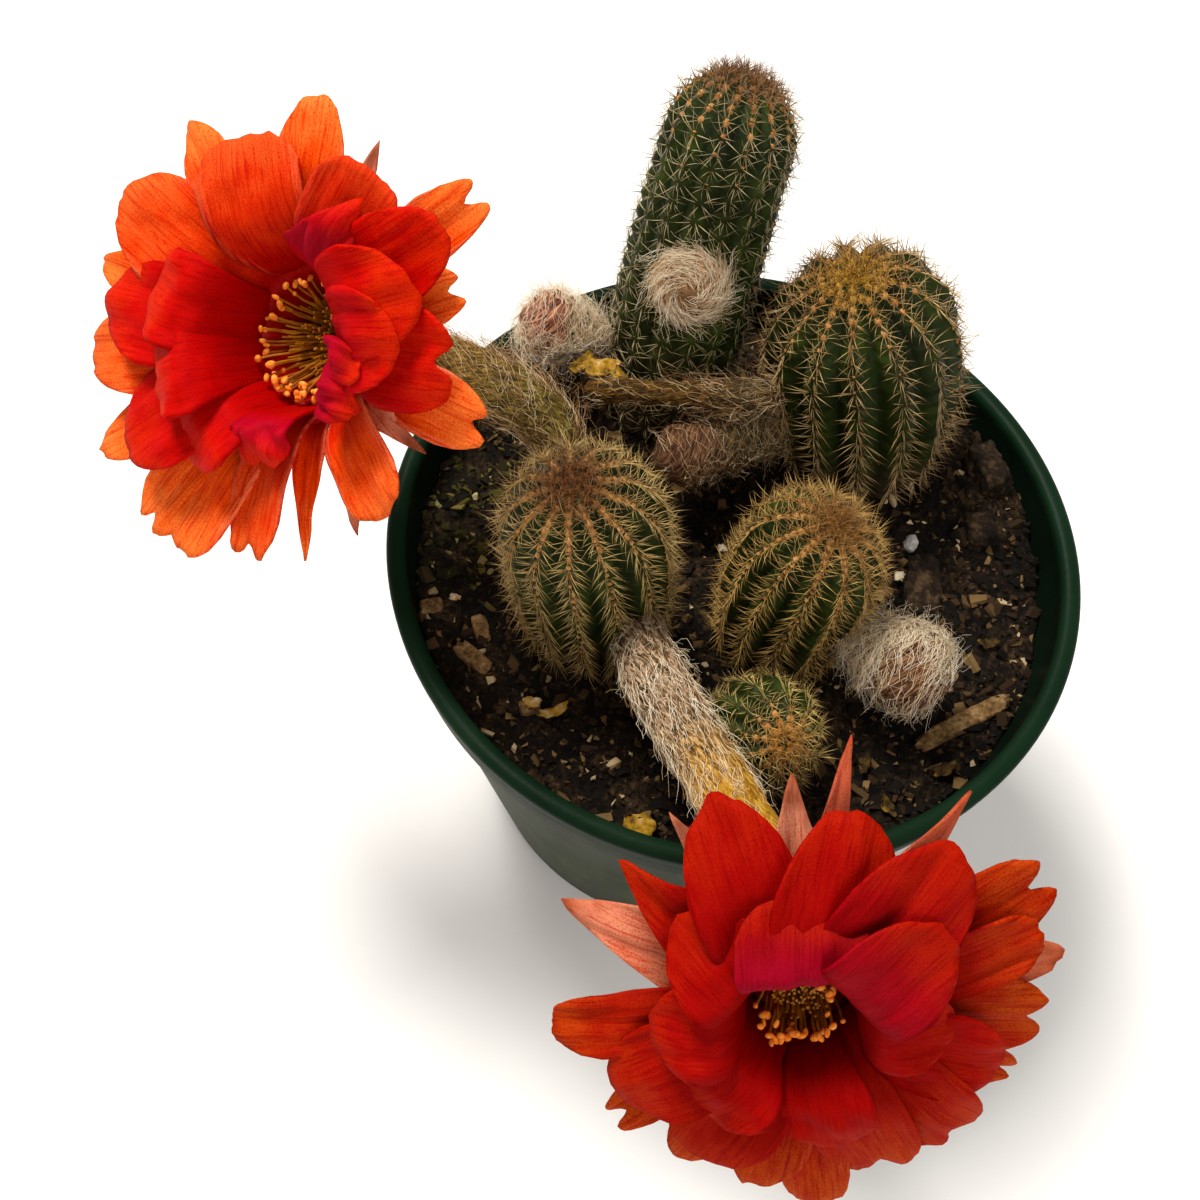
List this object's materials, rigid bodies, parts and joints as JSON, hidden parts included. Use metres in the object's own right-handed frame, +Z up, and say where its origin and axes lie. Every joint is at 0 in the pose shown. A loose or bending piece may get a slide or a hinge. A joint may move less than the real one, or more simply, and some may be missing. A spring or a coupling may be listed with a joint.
{
  "type": "potted peanut cactus",
  "caption": "Clump of ribbed spiny cactus stems in a round plastic pot of soil, with wide open red flowers and woolly buds.",
  "frame": {"origin": "centre of the pot's flat underside", "axes": "+Z up, +X to the viewer's right, -Y towards the viewer, on whose side the front flower hangs over the rim"},
  "size_m": [0.152, 0.1472, 0.1359],
  "materials": {
    "pot_plastic": "moulded green plastic",
    "potting_soil": "moist crumbly potting mix",
    "cactus_skin": "waxy ribbed skin with spines",
    "petal_red": "thin silky petals",
    "stamen_yellow": "fine filaments with pollen",
    "floral_tube_wool": "fleshy tube covered in wool",
    "bark": "weathered bark",
    "perlite_stone": "porous white grain"
  },
  "bodies": {
    "root": {"pot": "pot_plastic", "soil": "potting_soil", "stem_tall": "cactus_skin", "stem_fat": "cactus_skin", "stem_left": "cactus_skin", "stem_right": "cactus_skin", "stem_pup": "cactus_skin", "flower_left_petals": "petal_red", "flower_front_petals": "petal_red", "flower_left_stamens": "stamen_yellow", "flower_front_stamens": "stamen_yellow", "flower_left_tube": "floral_tube_wool", "flower_front_tube": "floral_tube_wool", "bud_tall": "floral_tube_wool", "bud_back_left": "floral_tube_wool", "bud_middle": "floral_tube_wool", "bud_right": "floral_tube_wool", "spent_flower": "floral_tube_wool", "bark_lump": "bark", "bark_chunk": "bark", "bark_slab": "bark", "wood_sliver": "bark", "wood_chip_left": "bark", "wood_chip_front": "bark", "wood_chip_far": "bark", "wood_block": "bark", "perlite": "perlite_stone"}
  },
  "joints": []
}
